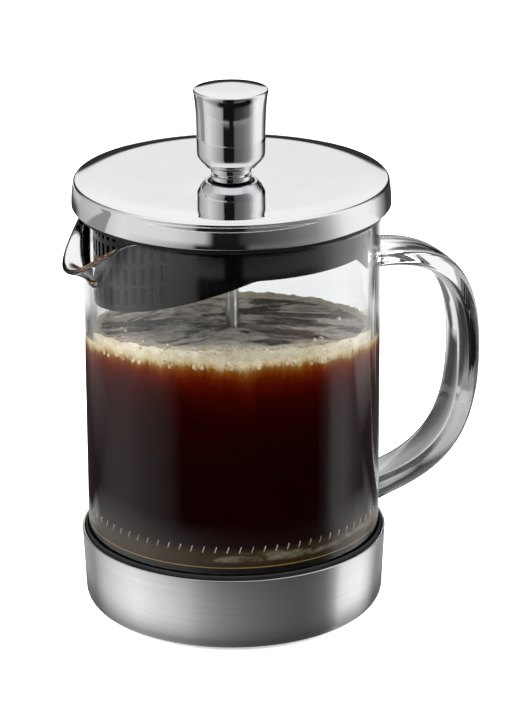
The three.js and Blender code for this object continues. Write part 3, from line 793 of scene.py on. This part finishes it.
def make_coffee():
    floor_z = glass_lo.z + GLASS_FLOOR - 0.1
    bm = turned(rounded((0, floor_z), (COFFEE_R, floor_z, 3.7), (COFFEE_R, COFFEE_Z - 1.5), (0, COFFEE_Z - 1.5), steps=8))
    for vert in bm.verts:
        if vert.co.z > COFFEE_Z - 2:
            vert.co.z += coffee_level(vert.co) - COFFEE_Z
    piece(bm, "coffee_body", "beaker", COFFEE, "coffee")

    profile = [(k * 2.0, 0) for k in range(20)] + [(39.4, 0.05), (40.4, 0.1), (40.4, -3), (0, -3)]
    bm = turned([(r, COFFEE_Z + z) for r, z in profile], 180)
    for vert in bm.verts:
        rise = coffee_level(vert.co) - COFFEE_Z
        if vert.co.z > COFFEE_Z - 1:
            rise += 0.25 * noise.noise(vert.co * 0.16) + 0.12 * noise.noise(vert.co * 0.5)
        vert.co.z += rise
    piece(bm, "coffee_top", "beaker", SURFACE, "coffee_foam")

    band = [(37.2, -0.5), (38.2, 0.1), (39.2, 0.5), (40.3, 0.9), (41.3, 1.3), (42.1, 1.6), (FOAM_R, 1.7),
            (FOAM_R, 0.9), (FOAM_R, 0.0), (FOAM_R, -1.2), (FOAM_R, -3.0), (37.2, -3.0)]
    bm = turned([(r, COFFEE_Z + z) for r, z in band], 360, closed=True)
    for vert in bm.verts:
        angle = math.atan2(vert.co.y, vert.co.x)
        share = min(1, max(0, (COFFEE_Z + 1.8 - vert.co.z) / 4))
        radius = vert.co.xy.length
        high = 0.6 * ragged(angle, radius * 0.05, 9) + 0.5 * ragged(angle, radius * 0.2, 34)
        vert.co.z += coffee_level(vert.co) - COFFEE_Z + high * (1 - share)
        if radius < 41:
            nearness = (vert.co.x * FRONT.x + vert.co.y * FRONT.y) / COFFEE_R
            thin = 0.5 - 0.5 * max(-1, min(1, 2.2 * nearness - 0.6))
            pull = 1 + 0.8 * thin * (41.2 - radius) / radius
            pull -= (1 - thin) * (0.9 * ragged(angle, 4, 11) + 0.8 * ragged(angle, 6, 40)) / 40
            vert.co.x, vert.co.y = vert.co.x * pull, vert.co.y * pull
    piece(bm, "foam_edge", "beaker", CREMA, "coffee_foam")

    bubbles = bmesh.new()
    for i in range(420):
        angle = math.atan2(FRONT.y, FRONT.x) + random.gauss(0, 0.75)
        size = 0.22 + 0.75 * random.random() ** 4
        r = COFFEE_R - size * 0.8 - 11 * random.random() ** 1.7
        spot = Vector((r * math.cos(angle), r * math.sin(angle), 0))
        lift = 1.0 * max(0, (r - 37.5) / 4.3) ** 2
        spot.z = coffee_level(spot) + lift - size * 0.1
        bmesh.ops.create_icosphere(bubbles, subdivisions=2, radius=size, matrix=Matrix.Translation(spot))
    for i in range(46):
        angle = math.atan2(FRONT.y, FRONT.x) + random.uniform(-1.25, 1.25)
        size = 0.5 + 0.6 * random.random()
        spot = Vector(((COFFEE_R - size + 0.35) * math.cos(angle), (COFFEE_R - size + 0.35) * math.sin(angle), 0))
        spot.z = coffee_level(spot) - 2.2 - 1.6 * random.random()
        bmesh.ops.create_icosphere(bubbles, subdivisions=2, radius=size, matrix=Matrix.Translation(spot))
    piece(bubbles, "foam_bubbles", "beaker", BUBBLE, "coffee_foam", crease=180)


make_base()
make_beaker()
make_lid()
make_strainer()
make_hub()
make_knob()
make_filter()
make_spring()
make_coffee()


# ---- stage ----
def toward(azimuth, distance, height):
    """A place in metres, at degrees to the right of the camera's side of the press."""
    a = math.radians(azimuth)
    spot = Vector((math.sin(a) * distance, -math.cos(a) * distance, height))
    return Matrix.Rotation(-VIEW_TURN, 3, "Z") @ spot


def stage_material(name, colour, glow):
    material = bpy.data.materials.new(name)
    material.use_nodes = True
    shader = material.node_tree.nodes["Principled BSDF"]
    shader.inputs["Base Color"].default_value = (*colour, 1)
    shader.inputs["Roughness"].default_value = 0.9
    shader.inputs["Specular IOR Level"].default_value = 0.0
    shader.inputs["Emission Color"].default_value = (1, 1, 1, 1)
    shader.inputs["Emission Strength"].default_value = glow
    return material


def make_floor():
    bm = bmesh.new()
    bmesh.ops.create_circle(bm, cap_ends=True, segments=64, radius=4)
    mesh = bpy.data.meshes.new("floor")
    bm.to_mesh(mesh)
    bm.free()
    floor = bpy.data.objects.new("floor", mesh)
    floor.location.z = -0.0002
    mesh.materials.append(stage_material("floor_white", (0.9, 0.9, 0.9), 0.5))
    bpy.context.scene.collection.objects.link(floor)


# brightness of the glowing surround ring by its angle from the camera's side, laid out as painted reflections that each
# part mirrors:
# the walls, the table close round the foot, the table that the glass mirrors, and the far table
WALLS = ((-180, 1.0), (-168, 1.0), (-160, 0.06), (-142, 0.06), (-131, 0.45), (-94, 0.68), (-80, 0.82), (-56, 0.6),
         (-34, 0.38), (-27, 0.3), (-23, 0.008), (9, 0.008), (13, 0.11), (38, 0.16), (60, 0.28), (72, 0.5),
         (84, 0.9), (100, 1.05), (118, 0.9), (130, 0.35), (141, 0.06), (160, 0.05), (168, 1.0), (180, 1.0))
BASE_PAINTED_REFLECTION = ((-90, 0.42), (-77, 0.42), (-68, 0.32), (-60, 0.74), (-49, 1.08), (-40, 1.25), (-32, 1.05), (-25, 0.9),
              (-18, 0.72), (-12, 0.46), (-5, 0.32), (1, 0.25), (7, 0.195), (13, 0.16), (20, 0.13), (27, 0.11),
              (34, 0.148), (38, 0.21), (42, 0.46), (45, 1.1), (51, 1.3), (58, 1.35), (63, 1.0), (70, 0.3), (90, 0.4))
JUG_PAINTED_REFLECTION = ((-90, 0.03), (-72, 0.03), (-64, 0.12), (-55, 0.35), (-46, 0.5), (-38, 0.4), (-31, 0.34), (-25, 0.2),
             (-20, 0.008), (35, 0.004), (40, 0.2), (43, 0.7), (49, 0.7), (55, 0.3), (62, 0.08), (80, 0.04), (90, 0.1))
HIGH_PAINTED_REFLECTION = ((-180, 1.0), (-150, 0.9), (-128, 0.35), (-94, 0.7), (-78, 0.75), (-56, 0.55), (-34, 0.4), (-27, 0.3),
        (-23, 0.006), (9, 0.006), (13, 0.03), (38, 0.05), (60, 0.12), (72, 0.4), (84, 0.9), (100, 1.15),
        (118, 0.9), (134, 0.5), (142, 0.06), (152, 0.05), (158, 0.9), (180, 1.0))
LID_PAINTED_REFLECTION = ((-180, 1.0), (-168, 1.0), (-160, 0.06), (-142, 0.06), (-131, 0.45), (-94, 0.68), (-80, 0.82), (-56, 0.66),
             (-34, 0.45), (-20, 0.34), (-6, 0.28), (-4, 0.008), (7, 0.008), (10, 0.20), (38, 0.26), (60, 0.34),
             (72, 0.5), (84, 0.9), (100, 1.05), (118, 0.9), (130, 0.35), (141, 0.06), (160, 0.05), (168, 1.0), (180, 1.0))
FAR_PAINTED_REFLECTION = ((-180, 1.0), (-150, 0.9), (-131, 0.5), (-94, 0.68), (-80, 0.82), (-40, 0.75), (-18, 0.5), (-12, 0.01),
       (4, 0.01), (9, 0.04), (38, 0.12), (60, 0.25), (72, 0.5), (84, 0.9), (100, 1.05), (118, 0.9), (130, 0.35),
       (141, 0.05), (162, 0.05), (180, 0.5))
# tones of the floor behind the press by sideways place in metres, seen through the handle: painted shade that darkens
# the glass handle
HANDLE_PAINTED_SHADE = ((-0.20, 0.3), (-0.12, 0.05), (-0.065, 0.04), (-0.045, 0.3), (-0.014, 0.5), (0.020, 0.45), (0.045, 0.42),
                 (0.060, 0.32), (0.070, 0.22), (0.079, 0.14), (0.087, 0.09), (0.104, 0.055), (0.16, 0.08),
                 (0.19, 0.4), (0.24, 1.0))
BACKDROP = ((-179, 1.0), (-168, 0.0), (106, 0.0), (124, 0.8), (180, 1.0))


def tones(f, azimuth, table):
    return f.ramp(azimuth, *((degrees / 360 + 0.5, tone) for degrees, tone in table))


def bearings(f, vector):
    """Angle round the press from the camera's side, as a share of a turn, and the turned position."""
    turn = f.add("VectorRotate", {"rotation_type": "Z_AXIS"}, Angle=VIEW_TURN)
    f.link(vector, turn.inputs["Vector"])
    split = f.add("SeparateXYZ")
    f.link(turn.outputs[0], split.inputs[0])
    x, y, z = split.outputs
    azimuth = f.math("ADD", f.math("DIVIDE", f.math("ARCTAN2", x, f.math("MULTIPLY", y, -1)), TAU), 0.5)
    return azimuth, x, y, z


WALL_R = 47.0


def facing(f, azimuth, radius):
    """Bearing of the spot on the press's upright wall that mirrors this floor point to the camera.

    A spot at bearing a mirrors the floor at distance d along 2a; three damped steps solve for a.
    """
    bearing = f.math("MULTIPLY", f.math("SUBTRACT", azimuth, 0.5), TAU)
    guess = f.math("MULTIPLY", bearing, 0.6)
    square = f.math("MULTIPLY", radius, radius)
    for _ in range(4):
        ahead = f.math("MULTIPLY", f.math("COSINE", guess), WALL_R * MM)
        aside = f.math("MULTIPLY", f.math("SINE", guess), WALL_R * MM)
        inner = f.math("MAXIMUM", f.math("SUBTRACT", square, f.math("MULTIPLY", aside, aside)), 0.0)
        d = f.math("SUBTRACT", f.math("SQRT", inner), ahead)
        along = f.math("ADD", WALL_R * MM, f.math("MULTIPLY", d, f.math("COSINE", guess)))
        past = f.math("ARCTAN2", f.math("MULTIPLY", d, f.math("SINE", guess)), along)
        guess = f.math("MULTIPLY", f.math("ADD", guess, f.math("SUBTRACT", bearing, past)), 0.5)
    return f.math("ADD", f.math("DIVIDE", guess, TAU), 0.5)


def make_surround():
    """A glowing ring just over the floor, seen only in reflections and through the glass; its tones are painted
    reflections, painted shadow and painted shade.
    """
    bm = bmesh.new()
    bmesh.ops.create_circle(bm, segments=96, radius=0.0365)
    bmesh.ops.create_circle(bm, segments=96, radius=3.5)
    bmesh.ops.bridge_loops(bm, edges=bm.edges[:])
    mesh = bpy.data.meshes.new("surround")
    bm.to_mesh(mesh)
    bm.free()
    ring = bpy.data.objects.new("surround", mesh)
    ring.location.z = 0.0004
    f = Finish("painted_reflection_tones")
    place = f.add("TexCoord").outputs["Object"]
    azimuth, x, y, _ = bearings(f, place)
    radius = f.math("SQRT", f.math("ADD", f.math("MULTIPLY", x, x), f.math("MULTIPLY", y, y)))
    spot = facing(f, azimuth, radius)
    # a dark band close round the foot, mirrored in the base's lower edge: a painted contact shadow
    base_reflection_and_shadow = f.mix(f.ramp(radius, (0.050, 0.3), (0.058, 1.0)), (0.05, 0.05, 0.05), tones(f, spot, BASE_PAINTED_REFLECTION))
    tone = f.mix(f.ramp(radius, (0.10, 0.0), (0.13, 1.0)), base_reflection_and_shadow, tones(f, spot, JUG_PAINTED_REFLECTION))
    open_side = f.math("MULTIPLY", tones(f, azimuth, BACKDROP), f.ramp(radius, (0.10, 0.0), (0.13, 1.0)))
    tone = f.mix(open_side, tone, (1.0, 1.0, 1.0))
    tone = f.mix(f.ramp(radius, (0.275, 0.0), (0.30, 1.0)), tone, tones(f, azimuth, HIGH_PAINTED_REFLECTION))
    tone = f.mix(f.ramp(radius, (0.390, 0.0), (0.398, 1.0)), tone, tones(f, azimuth, LID_PAINTED_REFLECTION))
    tone = f.mix(f.ramp(radius, (0.400, 0.0), (0.430, 1.0)), tone, tones(f, azimuth, WALLS))
    tone = f.mix(f.ramp(radius, (0.48, 0.0), (0.65, 1.0)), tone, tones(f, azimuth, FAR_PAINTED_REFLECTION))
    behind = f.ramp(y, (0.0, 0.0), (0.05, 1.0))
    across = f.ramp(f.math("SUBTRACT", f.math("ABSOLUTE", x), f.math("MULTIPLY", y, 0.075)), (0.09, 1.0), (0.10, 0.0))
    clear = f.math("MULTIPLY", f.math("MULTIPLY", behind, across), f.ramp(radius, (0.085, 0.0), (0.10, 1.0)))
    tone = f.mix(clear, tone, (1.0, 1.0, 1.0))
    # the tones behind the handle are painted shade, seen through the glass handle
    handle_painted_shade_gradient = f.ramp(f.math("ADD", x, 0.25), *((place + 0.25, grey) for place, grey in HANDLE_PAINTED_SHADE))
    reach = f.math("SUBTRACT", y, f.math("MULTIPLY", f.ramp(x, (0.070, 0.0), (0.080, 1.0)), 0.03))
    strip = f.math("MULTIPLY", f.ramp(y, (0.045, 0.0), (0.06, 1.0)), f.ramp(reach, (0.21, 1.0), (0.235, 0.0)))
    tone = f.mix(f.math("MULTIPLY", strip, f.ramp(radius, (0.085, 0.0), (0.10, 1.0))), tone, handle_painted_shade_gradient)
    f.set(Base_Color=(0, 0, 0, 1), Specular_IOR_Level=0.0, Emission_Strength=1.0)
    f.drive("Emission Color", tone)
    mesh.materials.append(f.material)
    ring.visible_camera = False
    ring.visible_diffuse = False
    ring.visible_shadow = False
    bpy.context.scene.collection.objects.link(ring)


def make_world():
    world = bpy.data.worlds.new("studio")
    bpy.context.scene.world = world
    world.use_nodes = True
    f = Finish.__new__(Finish)
    f.tree = world.node_tree
    azimuth, _, _, z = bearings(f, f.add("TexCoord").outputs["Generated"])
    height = f.math("ADD", f.math("DIVIDE", f.math("ARCSINE", z), math.pi), 0.5)

    def el(degrees):
        return degrees / 180 + 0.5

    walls = tones(f, azimuth, WALLS)
    low = f.ramp(height, (el(0), 0.97), (el(11), 0.97), (el(13), 0.14), (el(26), 0.0))
    at_back = tones(f, azimuth, ((-155, 1), (-140, 0), (115, 0), (135, 1)))
    ceiling = f.ramp(height, (el(40), 0.0), (el(55), 1.0))
    colour = f.mix(f.math("MULTIPLY", low, at_back), walls, (0.0, 0.0, 0.0))
    colour = f.mix(ceiling, colour, (1.0, 1.0, 1.0))
    seen = f.mix(f.add("LightPath").outputs["Is Camera Ray"], colour, (1.0, 1.0, 1.0))
    f.link(seen, f.tree.nodes["Background"].inputs["Color"])


def make_lamp(name, azimuth, distance, height, size, power):
    data = bpy.data.lights.new(name, "AREA")
    data.size = size
    data.energy = power
    lamp = bpy.data.objects.new(name, data)
    lamp.location = toward(azimuth, distance, height)
    lamp.rotation_euler = (Vector((0, 0, 0.08)) - lamp.location).to_track_quat("-Z", "Y").to_euler()
    lamp.visible_glossy = False
    bpy.context.scene.collection.objects.link(lamp)


def make_camera():
    data = bpy.data.cameras.new("view")
    data.lens = 170.5
    data.sensor_width = 36
    data.clip_end = 20
    camera = bpy.data.objects.new("view", data)
    pitch, roll = math.radians(19.9357), math.radians(-0.25)
    forward = Vector((math.sin(VIEW_TURN) * math.cos(pitch), math.cos(VIEW_TURN) * math.cos(pitch), -math.sin(pitch)))
    camera.location = (-0.3264, -0.9203, 0.4311)
    camera.rotation_euler = (forward.to_track_quat("-Z", "Y").to_matrix() @ Matrix.Rotation(roll, 3, "Z")).to_euler()
    bpy.context.scene.collection.objects.link(camera)
    bpy.context.scene.camera = camera


make_floor()
make_surround()
make_lamp("soft_left", -62, 0.9, 0.8, 0.9, 34)
make_lamp("soft_right", 62, 0.9, 0.8, 0.9, 28)
make_world()
make_camera()

scene = bpy.context.scene
scene.view_settings.view_transform = "Standard"
scene.cycles.max_bounces = 24
scene.cycles.transmission_bounces = 20
scene.cycles.glossy_bounces = 8
